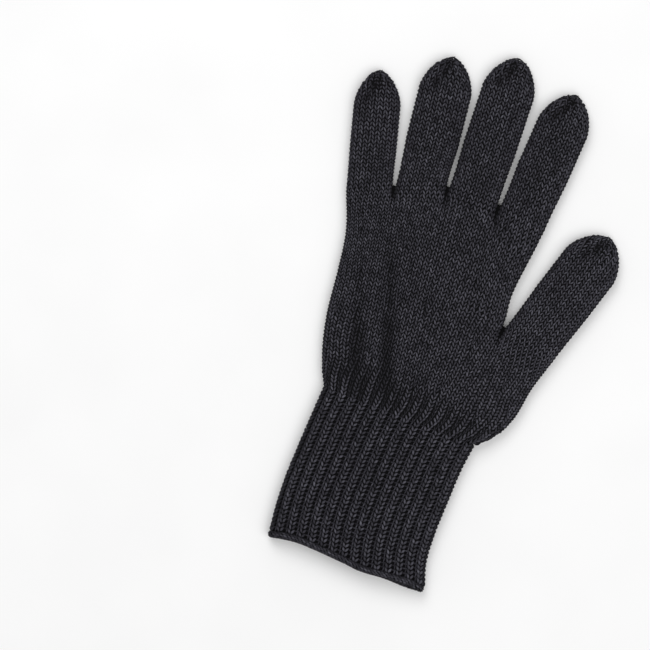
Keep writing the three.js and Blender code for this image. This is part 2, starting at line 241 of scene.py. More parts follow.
backLook = {
    "dark": "#030304",
    "light": "#0c0b0e",
    "stitchSize": 1.3,  # mm, loops seen between the strands
    "unevenness": 0.55,
    # Painted shade in the pits round each loop
    "pitShadeShare": 0.6,  # how much lighter a loop's middle is than the pits round it
    "driftSize": 9.0,  # mm
    "driftDetail": 3.0,
    "loopHeight": 0.3,  # mm
    "stops": (0.05, 0.6),
    "roughness": (0.85, 1.0),
    "shine": 0.15,
}


def makeBacking(name, look):
    # The back halves of the loops, painted near black as painted shade: seen in the pits between the
    # strands and inside the glove, where they show as small bumps in rows
    made, tree = newMaterial(name)
    place = addNode(tree, "ShaderNodeTexCoord")
    loops = addNode(tree, "ShaderNodeTexVoronoi", {"feature": "F1"},
                    {"Scale": perMetre(look["stitchSize"]), "Randomness": look["unevenness"]},
                    {"Vector": (place, "Object")})
    drift = addNode(tree, "ShaderNodeTexNoise", None,
                    {"Scale": perMetre(look["driftSize"]), "Detail": look["driftDetail"]},
                    {"Vector": (place, "Object")})
    mixed = addNode(tree, "ShaderNodeMath", {"operation": "MULTIPLY_ADD"}, {1: -look["pitShadeShare"]},
                    {0: (loops, "Distance"), 2: (drift, "Fac")})
    colour = addRamp(tree, (mixed, "Value"), list(zip(look["stops"], (look["dark"], look["light"]))))
    rough = addRoughness(tree, (drift, "Fac"), look)
    bump = addNode(tree, "ShaderNodeBump", {"invert": True},
                   {"Strength": 1.0, "Distance": look["loopHeight"] * millimetre},
                   {"Height": (loops, "Distance")})
    shader = addNode(tree, "ShaderNodeBsdfPrincipled", None, {"Specular IOR Level": look["shine"]},
                     {"Base Color": (colour, "Color"), "Roughness": (rough, "Result"),
                      "Normal": (bump, "Normal")})
    addNode(tree, "ShaderNodeOutputMaterial", links={"Surface": (shader, "BSDF")})
    return made


paperLook = {
    "dark": "#f8f8f8",
    "light": "#fbfbfb",
    "stops": (0.3, 0.7),
    "cloudSize": 60.0,  # mm
    "cloudDetail": 2.0,
    "roughness": 0.9,
    "shine": 0.1,
}


def makeFloorPaint(name, look):
    # Matt pale studio paper, almost white, with the faintest unevenness
    made, tree = newMaterial(name)
    place = addNode(tree, "ShaderNodeTexCoord")
    cloud = addNode(tree, "ShaderNodeTexNoise", None,
                    {"Scale": perMetre(look["cloudSize"]), "Detail": look["cloudDetail"]},
                    {"Vector": (place, "Object")})
    colour = addRamp(tree, (cloud, "Fac"), list(zip(look["stops"], (look["dark"], look["light"]))))
    shader = addNode(tree, "ShaderNodeBsdfPrincipled", None,
                     {"Roughness": look["roughness"], "Specular IOR Level": look["shine"]},
                     {"Base Color": (colour, "Color")})
    addNode(tree, "ShaderNodeOutputMaterial", links={"Surface": (shader, "BSDF")})
    return made


yarn = makeYarn("charcoalKnittedYarn", yarnLook)
# The rolled edge shows the knit's back: rounder loops whose tone changes more from one to the next
hemYarn = makeYarn("charcoalRolledEdgeYarn", {**yarnLook, "endShadeShare": 0.1, "shadedToneShare": 0.6})
backing = makeBacking("shadowedLoopBacks", backLook)
floorPaint = makeFloorPaint("paleStudioPaper", paperLook)


def makeFloor():
    # One square of paper round the origin
    reach = light["floorSize"] / 2 * millimetre
    mesh = bpy.data.meshes.new("floor")
    mesh.from_pydata([(-reach, -reach, 0), (reach, -reach, 0), (reach, reach, 0), (-reach, reach, 0)],
                     [], [(0, 1, 2, 3)])
    mesh.materials.append(floorPaint)
    floor = bpy.data.objects.new("floor", mesh)
    bpy.context.collection.objects.link(floor)


def makeSky():
    # Even pale light from all round, and colours shown as they are
    sky = bpy.data.worlds.new("studio")
    sky.use_nodes = True
    background = sky.node_tree.nodes["Background"]
    background.inputs["Color"].default_value = linearColour(light["skyColour"])
    background.inputs["Strength"].default_value = light["skyStrength"]
    bpy.context.scene.world = sky
    bpy.context.scene.view_settings.view_transform = "Standard"


makeFloor()
makeSky()
print("materials, floor and sky made")


# Hand shape: the same sizes as the CAD model, in millimetres, with tilts and leans in degrees

hand = {
    "wall": 2.0,
    "cuffWall": 2.6,
    "seamGap": 0.3,
    "webWidth": 1.2,
    "palmLength": 108.9,
    "palmThickness": 11.5,
    "edgeHeight": 4.2,
    "underTuck": 3.0,
    "crotchReach": 14.0,
    "thumbReach": 17.5,
    "webDrop": 2.8,
    "wristRise": 0.2,  # share of the lower rows over which the palm meets the cuff's height
    "foldSpread": 1.25,  # times the CAD's fold width
    # Painted shade along the folds stands in for the rest of their depth
    "foldShare": 0.6,  # of the CAD's fold depth, the shade does the rest
    "foldEnd": 1.1,  # share of a fold's length at which it has run out
    "wristWidth": 76.8,
    "wristOffset": 11.6,
    "wristTilt": 3.4,
    "cuffLength": 70.8,
    "cuffThickness": 12.5,
    "rollRadius": 1.8,
    "hemWander": 4.0,
    "tipLength": 17.0,
    "tipRoundness": 1.7,
    "tipDent": 0.9,
    "tipDentWidth": 3.0,
    "flatShape": 3.0,
    "fingerShape": 2.4,
    "nudge": 0.01,
    "lineSamples": 400,
}

# name, width, tilt, length, lean, thickness, fullness
fingerSizes = [
    ("little_finger", 22.1, 22.9, 54.8, -12.6, 9.2, 1.01),
    ("ring_finger", 24.1, 17.6, 62.1, -3.8, 9.6, 1.045),
    ("middle_finger", 24.2, -1.4, 67.4, 0.3, 9.6, 1.045),
    ("index_finger", 24.5, -13.7, 62.8, 5.8, 9.6, 1.05),
    ("thumb", 27.5, -20.7, 63.0, 19.5, 10.4, 1.03),
]
columns = ("name", "width", "tilt", "length", "lean", "thick", "fullness")
fingers = [dict(zip(columns, row)) for row in fingerSizes]
thumbIndex = 4

# wrist share, share where the thumb leaves, and the bow to the thumb side along the line
seamLines = [
    (-0.5, 0.604, [(0, 0), (0.11, -0.03), (0.34, -0.034), (0.6, 0.006), (0.8, 0.027), (1, 0)]),
    (-0.32, 0.605, [(0, 0), (0.6, 0.008), (1, 0)]),
    (-0.12, 0.572, [(0, 0), (1, 0)]),
    (0.085, 0.56, [(0, 0), (1, 0)]),
    (0.29, 0.54, [(0, 0), (0.54, 0.035), (0.69, 0), (0.91, 0), (1, 0)]),
    (0.5, 1.0, [(0, 0), (0.1, 0.05), (0.36, 0.066), (0.7, 0.02), (1, 0)]),
]

# share of the cuff's length, left and right edge as shares of the wrist's width
cuffEdges = [(0, -0.5, 0.49), (0.18, -0.517, 0.461), (0.4, -0.536, 0.444), (0.65, -0.553, 0.428),
             (0.85, -0.553, 0.432), (1, -0.545, 0.466)]

hemUpper = [(0, 0), (0.1, 0.36), (0.22, 0.36), (0.5, -0.2), (0.6, -0.48), (0.8, -0.34), (0.92, -0.34),
            (1, -0.7)]
hemLower = [(0, 0), (0.2, 0.26), (0.5, -0.3), (0.8, -0.6), (0.92, -0.76), (1, -0.7)]

# from and to, as shares across (wrist width) and up (palm length), with depth and width in mm
softFolds = [
    (-0.39, 0.61, -0.18, 0.1, 1.3, 2.4),
    (-0.235, 0.76, 0.0, 0.12, 1.3, 2.4),
]
# Shares of a fold's length between which it sets in, deepens to its full depth, and runs out
foldFade = {"start": (-0.05, 0.35), "deepening": (0.45, 0.85), "endLength": 0.25}

# Short creases below the crotches, drawn only as painted shade: seam line, end from the crotch across and
# up, in mm
creases = [(1, 4.2, -8.5), (2, 2.9, -11.9), (3, 0.8, -13.0)]
creaseWidth = 1.5
creaseFade = (0.5, 1.3)  # shares of its length between which a crease runs out


def blend(a, b, t):
    # a at 0, b at 1
    return a + (b - a) * t


def smoothstep(x, low, high):
    # 0 below low, 1 above high, and t * t * (3 - 2 t) between them
    t = np.clip((x - low) / (high - low), 0, 1)
    return t * t * (3 - 2 * t)


def rise(place, shape):
    # Height share of a rounded section: (1 - |place| ^ shape) ^ (1 / shape)
    return (1 - np.minimum(1, np.abs(place)) ** shape) ** (1 / shape)


def curveAt(table, position):
    # Cubic through (position, value) rows, each row's slope taken from its two neighbours
    x, y = np.array(table, float).T
    before = np.maximum(np.arange(len(x)) - 1, 0)
    after = np.minimum(np.arange(len(x)) + 1, len(x) - 1)
    slope = (y[after] - y[before]) / (x[after] - x[before])
    i = np.clip(np.searchsorted(x, position) - 1, 0, len(x) - 2)
    span = x[i + 1] - x[i]
    t = (position - x[i]) / span
    start = y[i] * (1 + 2 * t) * (1 - t) ** 2 + slope[i] * span * t * (1 - t) ** 2
    end = y[i + 1] * t * t * (3 - 2 * t) + slope[i + 1] * span * t * t * (t - 1)
    return start + end


def direction(degrees):
    # Unit vector at an angle from +X
    return np.array([math.cos(math.radians(degrees)), math.sin(math.radians(degrees))])


def wristPoint(share):
    # Point on the tilted wrist line, at a share of its width from its middle
    reach = share * hand["wristWidth"]
    along = direction(-hand["wristTilt"])
    return np.stack([hand["wristOffset"] + reach * along[0], reach * along[1]], -1)


def linePoint(k, along):
    # Seam line: from the wrist straight to its end, bowed to the thumb side by its table
    wrist, _, aside = seamLines[k]
    start = wristPoint(wrist)
    x = blend(start[0], roots[k][0], along) + curveAt(aside, along) * hand["wristWidth"]
    return np.stack([x, blend(start[1], roots[k][1], along)], -1)


def layOutRoots():
    # Ends of the seam lines, walked out from the ring-middle crotch by each finger's width
    halfWeb = np.array([hand["webWidth"] / 2, 0])
    ends = {2: np.array([0, hand["palmLength"]])}
    for k in (1, 0):
        step = fingers[k]["width"] * direction(fingers[k]["tilt"])
        ends[k] = ends[k + 1] - halfWeb - step - (halfWeb if k > 0 else 0)
    for k in (2, 3):
        step = fingers[k]["width"] * direction(fingers[k]["tilt"])
        ends[k + 1] = ends[k] + halfWeb + step + (halfWeb if k < 3 else 0)
    return ends


roots = layOutRoots()
thumbEnd = fingers[thumbIndex]["width"] * direction(fingers[thumbIndex]["tilt"])
roots[5] = linePoint(thumbIndex, seamLines[thumbIndex][1]) + thumbEnd + [hand["webWidth"] / 2, 0]


def stripsIn(upper):
    # Strips side by side in a block of rows: the upper one ends before the thumb's
    return thumbIndex if upper else len(fingers)


def rowAt(upper, t):
    # Row of the hand: how far thumb and fingers have parted, and the share along each seam line
    splits = [line[1] for line in seamLines]
    upperLength = hand["palmLength"] * (1 - splits[2])
    lowerLength = hand["palmLength"] * splits[2]
    t = np.asarray(t, float)
    if upper:
        return {
            "split": np.ones_like(t), "last": stripsIn(upper),
            "open": smoothstep(t, 1 - hand["crotchReach"] / upperLength, 1),
            "along": [blend(split, 1, t) for split in splits],
        }
    return {
        "split": smoothstep(t, 1 - hand["thumbReach"] / lowerLength, 1), "last": stripsIn(upper),
        "open": np.zeros_like(t), "along": [split * t for split in splits],
    }


def opened(row, k):
    # How far the strips on both sides of seam line k have parted, 0 to 1
    return row["split"] if k == thumbIndex else row["open"]


def stripEdge(row, k, side, inset, keepWeb=True):
    # Edge of a finger's strip: the seam line, half a web aside, moved inwards by the inset.
    # Without keepWeb the web narrows to nothing where the strips haven't parted.
    along = row["along"][k]
    point = linePoint(k, along)
    outline = k in (0, row["last"])
    back = linePoint(k, np.maximum(0, along - hand["nudge"]))
    ahead = linePoint(k, np.minimum(1, along + hand["nudge"]))
    run = (ahead - back) / np.linalg.norm(ahead - back, axis=-1, keepdims=True)
    inward = np.stack([run[..., 1], -run[..., 0]], -1) * side
    parted = np.ones_like(row["open"]) if outline else opened(row, k)
    web = 0 if k in (0, 5) else hand["webWidth"] / 2 * side
    point[..., 0] += web * (1 if keepWeb else parted)
    return point + inward * (inset * parted)[..., None]


def foldSink(x, y, spread, lowEnd, end):
    # Each fold is a soft valley along a line: depth * exp(-(distance / width) ^ 2), fading at its
    # ends, and lowEnd of its depth is reached only towards the wrist
    sink = 0
    for fromAcross, fromUp, toAcross, toUp, depth, width in softFolds:
        start = np.array([fromAcross * hand["wristWidth"], fromUp * hand["palmLength"]])
        run = np.array([toAcross * hand["wristWidth"], toUp * hand["palmLength"]]) - start
        share = ((x - start[0]) * run[0] + (y - start[1]) * run[1]) / (run @ run)
        distance = np.abs((x - start[0]) * run[1] - (y - start[1]) * run[0]) / math.hypot(*run)
        taper = smoothstep(share, *foldFade["start"])
        taper = taper * (1 - smoothstep(share, end - foldFade["endLength"], end))
        taper = taper * (1 - lowEnd + lowEnd * smoothstep(share, *foldFade["deepening"]))
        sink = sink + depth * taper * np.exp(-(distance / (width * spread)) ** 2)
    return sink


def inCrease(x, y):
    # 1 in the middle of a crease at its crotch: fades aside as exp(-(distance / width) ^ 2) and down
    depth = 0
    for k, across, up in creases:
        run = np.array([across, up])
        share = ((x - roots[k][0]) * run[0] + (y - roots[k][1]) * run[1]) / (run @ run)
        distance = ((x - roots[k][0]) * run[1] - (y - roots[k][1]) * run[0]) / math.hypot(*run)
        depth = depth + np.exp(-(distance / creaseWidth) ** 2) * (1 - smoothstep(share, *creaseFade))
    return depth


def handPoint(upper, k, u, t, top, inset, keepWeb=False):
    # Point of the hand's skin: across its strip by u, then up by the swell of the whole hand,
    # of hand and thumb apart, and of each finger apart, blended as they part
    row = rowAt(upper, t)
    edge = hand["edgeHeight"]
    left = stripEdge(row, k, 1, inset, keepWeb)
    right = stripEdge(row, k + 1, -1, inset, keepWeb)
    flat = blend(left, right, np.asarray(u)[..., None])
    x = flat[..., 0]

    def swellOf(first, last, thickness, shape):
        # Rounded rise above and below the edge's height, between two seam lines
        a = stripEdge(row, first, 1, inset, keepWeb)[..., 0]
        b = stripEdge(row, last, -1, inset, keepWeb)[..., 0]
        share = rise((2 * x - a - b) / (b - a), shape)
        return (thickness - inset - edge) * share, (edge + hand["underTuck"] - inset) * share

    thick = fingers[k]["thick"]
    nearCuff = 1 - smoothstep(np.asarray(t, float), 0, hand["wristRise"])
    lowThickness = blend(hand["palmThickness"], hand["cuffThickness"], nearCuff)
    whole = (0, 0) if upper else swellOf(0, 5, lowThickness, hand["flatShape"])
    if k == thumbIndex:
        parted = swellOf(thumbIndex, 5, thick, hand["fingerShape"])
        single = parted
    else:
        parted = swellOf(0, thumbIndex, hand["palmThickness"], hand["flatShape"])
        single = swellOf(k, k + 1, thick, hand["fingerShape"])
    rises = [blend(blend(whole[i], parted[i], row["split"]), single[i], row["open"]) for i in (0, 1)]
    if top:
        sink = hand["foldShare"] * foldSink(x, flat[..., 1], hand["foldSpread"], 0, hand["foldEnd"])
        height = edge + rises[0] - sink * np.minimum(1, rises[0])
    else:
        height = np.maximum(inset, edge - rises[1])
    return np.concatenate([flat, height[..., None]], -1)


def tipShare(left, tip):
    # Width share of a fingertip, left mm before its end: (1 - (1 - left / tip) ^ n) ^ (1 / n)
    past = np.maximum(0, 1 - left / tip)
    return np.maximum(0, 1 - past ** hand["tipRoundness"]) ** (1 / hand["tipRoundness"])


def fingerPoint(k, q, distance, inset):
    # Point round a finger. q runs 0 to 1 over the upper sheet from the left fold, then to 2 back
    # under it. The finger settles from its root line to its axis, then its tip rounds off.
    finger = fingers[k]
    edge = hand["edgeHeight"]
    q = np.mod(q, 2.0)
    over = q < 1
    place = np.where(over, -np.cos(np.pi * q), np.cos(np.pi * (q - 1)))
    length = finger["length"] - hand["seamGap"] - inset
    distance = np.minimum(np.asarray(distance, float), length)
    ahead = direction(90 - finger["lean"])
    across = direction(-finger["lean"])
    row = rowAt(k != thumbIndex, np.array(1.0))
    rootLeft = stripEdge(row, k, 1, inset)
    rootRight = stripEdge(row, k + 1, -1, inset)
    middle = (rootLeft + rootRight) / 2
    rootHalf = np.linalg.norm(rootRight - rootLeft) / 2
    settle = smoothstep(distance, 0, finger["width"])
    closing = tipShare(length - distance, hand["tipLength"] - inset)
    half = rootHalf * blend(1, finger["fullness"], settle) * closing
    onAxis = middle + distance[..., None] * ahead
    left = blend(rootLeft + distance[..., None] * ahead, onAxis - half[..., None] * across,
                 settle[..., None])
    right = blend(rootRight + distance[..., None] * ahead, onAxis + half[..., None] * across,
                  settle[..., None])
    flat = blend(left, right, (place[..., None] + 1) / 2) + ahead * hand["seamGap"]
    share = rise(place, hand["fingerShape"]) * closing
    toDent = np.hypot(length - distance - hand["tipLength"] / 2, place * half) / hand["tipDentWidth"]
    dent = hand["tipDent"] * np.exp(-toDent ** 2) if inset < hand["wall"] else 0
    high = edge + (finger["thick"] - inset - edge) * share - dent
    low = np.maximum(inset, edge - (edge + hand["underTuck"] - inset) * share)
    return np.concatenate([flat, np.where(over, high, low)[..., None]], -1)


def hemHeight(across, over):
    # The hem's wander on the upper or the lower side, from its table
    upper = curveAt(hemUpper, across)
    lower = curveAt(hemLower, across)
    return -hand["cuffLength"] + hand["hemWander"] * np.where(over, upper, lower)


def cuffOval(q, down, inset):
    # Flat oval section: q runs 0 to 1 over the top from the left fold, then to 2 back under it
    q = np.mod(q, 2.0)
    over = q < 1
    width = hand["wristWidth"]
    left = hand["wristOffset"] + width * curveAt([(r[0], r[1]) for r in cuffEdges], down) + inset
    right = hand["wristOffset"] + width * curveAt([(r[0], r[2]) for r in cuffEdges], down) - inset
    angle = np.pi * (1 - q)
    power = 2 / hand["flatShape"]
    along = np.sign(np.cos(angle)) * np.abs(np.cos(angle)) ** power
    up = np.abs(np.sin(angle)) ** power
    edge = hand["edgeHeight"]
    high = edge + (hand["cuffThickness"] - inset - edge) * up
    low = np.maximum(inset, edge - (edge + hand["underTuck"] - inset) * up)
    x = (left + right) / 2 + (right - left) / 2 * along
    return x, np.where(over, high, low), (x - left) / (right - left), over


def cuffPoint(q, down, inset):
    # The oval at a share of the way from the tilted wrist line down to the wandering hem
    x, z, across, over = cuffOval(q, down, inset)
    top = wristPoint(across - 0.5)[..., 1] - hand["seamGap"]
    bottom = hemHeight(across, over) + hand["rollRadius"] + hand["seamGap"]
    return np.stack([x, blend(top, bottom, down), z], -1)


# Meshes

def cadShift():
    # The CAD model's origin is below the middle of its box, this shape's is on the wrist line
    u = np.linspace(0, 1, hand["lineSamples"])
    lowest = min(linePoint(0, u)[..., 0].min(), roots[0][0])
    palmLow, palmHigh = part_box("palm")
    rootTop = max(ends[1] for k, ends in roots.items() if k < 5)
    return np.array([palmLow[0] / millimetre - lowest, palmHigh[1] / millimetre - rootTop, 0])


shift = cadShift()
print("glove placed in the CAD frame, shifted by", shift.round(3), "mm")


def toMesh(name, points, triangles, materials, slots, strandUv, cellUv, toneWithPaintedShade):
    # One closed mesh from arrays: points in mm, triangles, a material slot for each triangle,
    # map coordinates for each corner and a tone, painted shade included, for each point
    mesh = bpy.data.meshes.new(name)
    mesh.vertices.add(len(points))
    mesh.vertices.foreach_set("co", ((points + shift) * millimetre).astype(np.float32).ravel())
    mesh.loops.add(len(triangles) * 3)
    mesh.loops.foreach_set("vertex_index", triangles.astype(np.int32).ravel())
    mesh.polygons.add(len(triangles))
    starts = np.arange(len(triangles), dtype=np.int32) * 3
    mesh.polygons.foreach_set("loop_start", starts)
    mesh.polygons.foreach_set("loop_total", np.full(len(triangles), 3, np.int32))
    mesh.polygons.foreach_set("use_smooth", np.ones(len(triangles), bool))
    for material in materials:
        mesh.materials.append(material)
    mesh.polygons.foreach_set("material_index", slots.astype(np.int32))
    for layerName, values in (("OFBake", cellUv), ("strand", strandUv)):
        layer = mesh.uv_layers.new(name=layerName)
        layer.data.foreach_set("uv", values.astype(np.float32).ravel())
    attribute = mesh.attributes.new("toneWithPaintedShade", "FLOAT", "POINT")
    attribute.data.foreach_set("value", toneWithPaintedShade.astype(np.float32))
    mesh.update()
    made = bpy.data.objects.new(name, mesh)
    bpy.context.collection.objects.link(made)
    return made


def weld(points, triangles):
    # Equal points joined, collapsed triangles dropped, and the whole turned outwards
    _, first, inverse = np.unique(np.round(points, 4), axis=0, return_index=True, return_inverse=True)
    joined = inverse.reshape(-1)[triangles]
    a, b, c = joined.T
    kept = joined[(a != b) & (b != c) & (c != a)]
    corners = points[first][kept]
    volume = np.einsum("ij,ij->i", corners[:, 0], np.cross(corners[:, 1], corners[:, 2])).sum()
    return points[first], kept if volume > 0 else kept[:, ::-1]


def gridTriangles(rows, count, closedAcross, closedAlong):
    # Two triangles for each cell of a grid of points, wrapped round where it is closed
    r = np.arange(rows if closedAlong else rows - 1)[:, None]
    c = np.arange(count if closedAcross else count - 1)[None, :]
    a = (r * count + c).ravel()
    b = (r * count + (c + 1) % count).ravel()
    d = (((r + 1) % rows) * count + c).ravel()
    e = (((r + 1) % rows) * count + (c + 1) % count).ravel()
    return np.concatenate([np.stack([a, b, e], -1), np.stack([a, e, d], -1)])


# Strands of yarn

strand = {
    "sides": 5,
    "stations": (-0.62, 0.0, 0.62),  # along the strand, whose ends are at -1 and 1
    "girths": (0.7, 1.0, 0.7),
    "sag": 0.19,  # how far the ends dip, as a share of the stitch's width
    "toneSpread": 0.12,
    # Painted shade: strands on the glove's sides are painted darker the more their surface turns sideways
    "sideShade": 1.0,  # strands on the glove's sides are darker
    "sidePower": 1.6,
    # How unevenly the strands lie, as shares of the stitch's width, height or their own size
    "wobble": {"across": 0.025, "up": 0.03, "reach": 0.05, "slant": 0.03, "girth": 0.06},
    "floorGap": 0.02,  # mm that the lowest yarn stays above the floor
}


def strandTemplate():
    # Unit strand: rings of points between two end points, and triangles with their map corners
    sides = strand["sides"]
    angles = 2 * np.pi * np.arange(sides) / sides + np.pi / sides
    along = [-1.0]
    side = [0.0]
    lift = [0.0]
    for station, girth in zip(strand["stations"], strand["girths"]):
        along += [station] * sides
        side += list(girth * np.cos(angles))
        lift += list(girth * np.sin(angles))
    along.append(1.0)
    side.append(0.0)
    lift.append(0.0)
    rings = len(strand["stations"])
    last = 1 + rings * sides
    triangles, corners = [], []
    levels = [-1.0, *strand["stations"], 1.0]
    for i in range(sides):
        j = (i + 1) % sides
        u, v = i / sides, (i + 1) / sides
        triangles.append((0, 1 + j, 1 + i))
        corners.append(((u, levels[0]), (v, levels[1]), (u, levels[1])))
        for r in range(rings - 1):
            a, b = 1 + r * sides + i, 1 + r * sides + j
            c, d = a + sides, b + sides
            triangles += [(a, b, d), (a, d, c)]
            low, high = levels[r + 1], levels[r + 2]
            corners += [((u, low), (v, low), (v, high)), ((u, low), (v, high), (u, high))]
        a, b = 1 + (rings - 1) * sides + i, 1 + (rings - 1) * sides + j
        triangles.append((last, a, b))
        corners.append(((u, levels[-1]), (u, levels[-2]), (v, levels[-2])))
    return (np.array(along), np.array(side), np.array(lift), np.array(triangles),
            np.array(corners, float))


templateAlong, templateSide, templateLift, templateTriangles, templateCorners = strandTemplate()


def unit(vectors):
    # Each vector divided by its length
    return vectors / np.maximum(np.linalg.norm(vectors, axis=-1, keepdims=True), 1e-9)


def runAlong(points):
    # Running length along a line of points
    return np.concatenate([[0], np.cumsum(np.linalg.norm(np.diff(points, axis=0), axis=1))])


def framesOn(surface, q, v, qStep, vStep):
    # At each stitch: its point, the directions across and ahead, and the outward normal across x ahead
    middle = surface(q, v)
    across = unit(surface(q + qStep, v) - surface(q - qStep, v))
    ahead = unit(surface(q, v + vStep) - surface(q, v - vStep))
    normal = unit(np.cross(across, ahead))
    return middle, across, ahead, normal


# Parts of a stitch: across and up are the strand's middle, reach its half-length along the wale and
# slant how far its top leans aside, all as shares of the stitch's width and height. girth and depth
# are its half-width and half-thickness as shares of the width.
plainStitch = [
    {"across": -0.25, "up": 0.0, "reach": 0.68, "slant": -0.26, "girth": 0.155, "depth": 0.18, "low": 0.0},
    {"across": 0.25, "up": 0.1, "reach": 0.66, "slant": 0.17, "girth": 0.15, "depth": 0.18, "low": 0.03},
]


def strandsFor(frames, width, height, stitch, sink, shade, wobble=1.0):
    # Strand points: middle + ahead and across along the strand's own line, + its section's circle,
    # and down along the normal by the depth, the sag of its ends and the local sink
    middle, across, ahead, normal = frames
    points, tonesWithPaintedShade = [], []
    count = len(middle)
    for part in stitch:
        draws = randomness.normal(0, 1, (5, count)) * wobble
        off = {name: size * draw for (name, size), draw in zip(strand["wobble"].items(), draws)}
        offset = (across * ((part["across"] + off["across"]) * width)[:, None]
                  + ahead * ((part["up"] + off["up"]) * height)[:, None])
        reach = part["reach"] * height * (1 + off["reach"])
        line = unit(ahead * reach[:, None] + across * ((part["slant"] + off["slant"]) * width)[:, None])
        length = np.hypot(reach, part["slant"] * width)
        sideways = unit(np.cross(line, normal))
        girth = part["girth"] * width * (1 + off["girth"])
        depth = part["depth"] * width
        down = depth + part["low"] * width + sink
        centre = middle + offset - normal * down[:, None]
        dip = strand["sag"] * width
        shape = (centre[:, None, :]
                 + line[:, None, :] * (length[:, None] * templateAlong)[..., None]
                 + sideways[:, None, :] * (girth[:, None] * templateSide)[..., None]
                 + normal[:, None, :] * (depth[:, None] * templateLift
                                         - dip[:, None] * templateAlong ** 2)[..., None])
        points.append(shape)
        # Painted shade on strands whose surface turns sideways
        paintedSideShade = strand["sideShade"] * (1 - np.abs(normal[:, 2])) ** strand["sidePower"]
        tone = np.clip(shade - paintedSideShade + strand["toneSpread"] * randomness.normal(0, 1, count), 0, 1)
        tonesWithPaintedShade.append(np.repeat(tone[:, None], len(templateAlong), 1))
    return np.concatenate(points), np.concatenate(tonesWithPaintedShade)


# Shares of the bake map: the strands' cells fill it up to one height, and the skin lies above them
bakeMap = {"strands": 0.72, "margin": 0.08, "skinFoot": 0.725, "skinWidth": 0.27}


def strandMeshData(points):
    # All strands of a piece as one set of arrays, each strand in its own cell of the bake map
    count, size = points.shape[:2]
    triangles = (templateTriangles[None] + (np.arange(count) * size)[:, None, None]).reshape(-1, 3)
    cells = math.ceil(math.sqrt(count))
    index = np.arange(count)
    cellOrigin = np.stack([index % cells, index // cells], -1) / cells
    inCell = templateCorners * [1, 0.5] + [0, 0.5]
    margin = bakeMap["margin"]
    cellUv = cellOrigin[:, None, None, :] + (margin + (1 - 2 * margin) * inCell[None]) / cells
    cellUv = cellUv * [1, bakeMap["strands"]]
    strandUv = np.broadcast_to(templateCorners[None], (count, *templateCorners.shape))
    lowered = points.reshape(-1, 3).copy()
    lowered[:, 2] = np.maximum(lowered[:, 2], strand["floorGap"])
    return lowered, triangles, strandUv.reshape(-1, 2), cellUv.reshape(-1, 2)


def knittedPiece(name, strands, skin, yarnMaterial):
    # A piece of knitting: its strands and, if given, the closed backing skin under them
    strandPoints, tonesWithPaintedShade = strands
    points, triangles, strandUv, cellUv = strandMeshData(strandPoints)
    toneWithPaintedShade = tonesWithPaintedShade.ravel()
    slots = np.zeros(len(triangles), int)
    if skin is not None:
        skinPoints, skinTriangles = skin
        corners = skinPoints[skinTriangles].reshape(-1, 3)
        spread = (corners[:, :2] - corners[:, :2].min(0)) / np.ptp(corners[:, :2], axis=0).max()
        slots = np.concatenate([slots, np.ones(len(skinTriangles), int)])
        triangles = np.concatenate([triangles, skinTriangles + len(points)])
        points = np.concatenate([points, skinPoints])
        strandUv = np.concatenate([strandUv, spread])
        cellUv = np.concatenate([cellUv, spread * bakeMap["skinWidth"] + [0, bakeMap["skinFoot"]]])
        toneWithPaintedShade = np.concatenate([toneWithPaintedShade, np.zeros(len(skinPoints))])
    made = toMesh(name, points, triangles, [yarnMaterial, backing], slots, strandUv, cellUv, toneWithPaintedShade)
    print(name, len(triangles), "triangles")
    return made


# Ribs, shared by the cuff and the hand's lowest rows

rib = {
    "count": 31,  # round the whole cuff
    "groove": 1.0,  # mm deep
    "fadeStart": 4.0,  # mm above the wrist line
    "fadeEnd": 20.0,
    "loopSamples": 720,
}


def cuffLoop(down):
    # Dense loop round the cuff, and its running length from the left fold
    q = np.linspace(0, 2, rib["loopSamples"] + 1)
    x, z, _, _ = cuffOval(q, down, 0)
    return q, np.concatenate([[0], np.cumsum(np.hypot(np.diff(x), np.diff(z)))])


def ribFade(distanceAbove):
    # 1 at the wrist, 0 where the ribs have run out into the plain knit
    return 1 - smoothstep(distanceAbove, rib["fadeStart"], rib["fadeEnd"])


# Palm

palm = {
    "lowerCourses": 32,
    "upperCourses": 23,
    "backingDepth": 0.85,  # mm that the backing skin lies below the surface
    "dense": 49,  # points along which a strip's section is measured
    "lowerShare": 0.57,  # of the palm's length, below the thumb's crotch
    "upperLength": 47.0,  # mm from there to the fingers' crotches
    "sideWale": 3.3,  # mm of a side wall for each wale that runs down it
    "narrowest": 0.9,  # mm, a narrower wale isn't knitted
    "wristGroove": 0.5,  # mm that the stitches over a rib's groove sink
    "ribbedFrom": 0.3,  # share of the widest wale, narrower ones take no part in the ribs
    "valleyWidth": 0.5,  # of half a rib
    "crestExtra": 0.64,  # of half a rib, that a crest is wider than a valley
    "firstRow": 0.35,  # the first row's middle above its block's edge, in courses
    "tone": 0.53,
    # Painted shade on the stitches that sink into the ribs' valleys
    "valleyShade": 0.3,
    # Painted shade along the folds
    "foldShade": 0.42,
    "foldShadeSpread": 1.4,
    "foldShadeLow": 0.6,  # of the shade, only towards the wrist
    "foldShadeEnd": 1.25,
    # Painted shade in the creases below the crotches
    "creaseShade": 0.38,
    "qStep": 0.004,  # steps over which the surface's directions are measured
    "vStep": 0.004,
    "rowStep": 0.01,
    "skinStrip": 10,  # steps of the backing skin across a strip
    "skinRows": 26,
    "skinUpperRows": (10, 9),
    "skinCrowded": 0.7,  # share of the upper rows' block above which they lie closer
}

